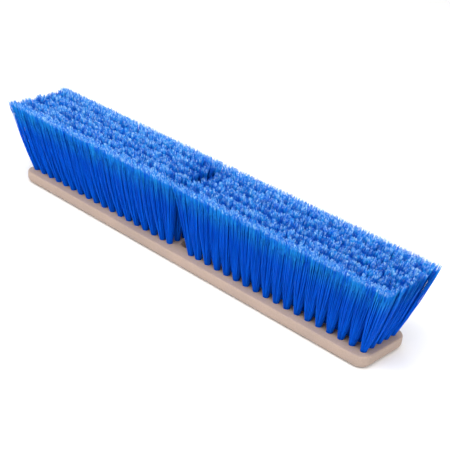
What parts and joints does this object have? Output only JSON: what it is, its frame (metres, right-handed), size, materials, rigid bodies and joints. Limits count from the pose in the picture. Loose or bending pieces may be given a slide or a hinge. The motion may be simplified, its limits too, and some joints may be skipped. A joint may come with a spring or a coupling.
{
  "type": "push broom head",
  "caption": "Floor push broom head: a thin rounded block with a slanted tapered handle socket through its middle and dense flared rows of flagged plastic bristles.",
  "frame": {"origin": "middle of the flat back face of the block, the face that the handle goes in at; the head lies on its back on the ground plane, with its bristles up", "axes": "+X along the head, +Y across it, to the side that the handle leans to, +Z from the back face to the bristle tips"},
  "size_m": [0.4908, 0.0756, 0.0857],
  "materials": {
    "block": "moulded structural foam, fine matt skin, greyish beige",
    "bristle": "drawn polypropylene filament, satin royal blue, paler where the split tips scatter light"
  },
  "bodies": {
    "root": {"block": "block", "tufts_row_1_left_1": "bristle", "tufts_row_1_right_1": "bristle", "tufts_row_1_left_2": "bristle", "tufts_row_1_right_2": "bristle", "tufts_row_1_left_3": "bristle", "tufts_row_1_right_3": "bristle", "tufts_row_1_left_4": "bristle", "tufts_row_1_right_4": "bristle", "tufts_row_2_left_1": "bristle", "tufts_row_2_right_1": "bristle", "tufts_row_2_left_2": "bristle", "tufts_row_2_right_2": "bristle", "tufts_row_2_left_3": "bristle", "tufts_row_2_right_3": "bristle", "tufts_row_2_left_4": "bristle", "tufts_row_2_right_4": "bristle", "tufts_row_3_left_1": "bristle", "tufts_row_3_right_1": "bristle", "tufts_row_3_left_2": "bristle", "tufts_row_3_right_2": "bristle", "tufts_row_3_left_3": "bristle", "tufts_row_3_right_3": "bristle", "tufts_row_3_left_4": "bristle", "tufts_row_3_right_4": "bristle", "tufts_row_4_left_1": "bristle", "tufts_row_4_right_1": "bristle", "tufts_row_4_left_2": "bristle", "tufts_row_4_right_2": "bristle", "tufts_row_4_left_3": "bristle", "tufts_row_4_right_3": "bristle", "tufts_row_4_left_4": "bristle", "tufts_row_4_right_4": "bristle", "tufts_row_5_left_1": "bristle", "tufts_row_5_right_1": "bristle", "tufts_row_5_left_2": "bristle", "tufts_row_5_right_2": "bristle", "tufts_row_5_left_3": "bristle", "tufts_row_5_right_3": "bristle", "tufts_row_5_left_4": "bristle", "tufts_row_5_right_4": "bristle"}
  },
  "joints": []
}
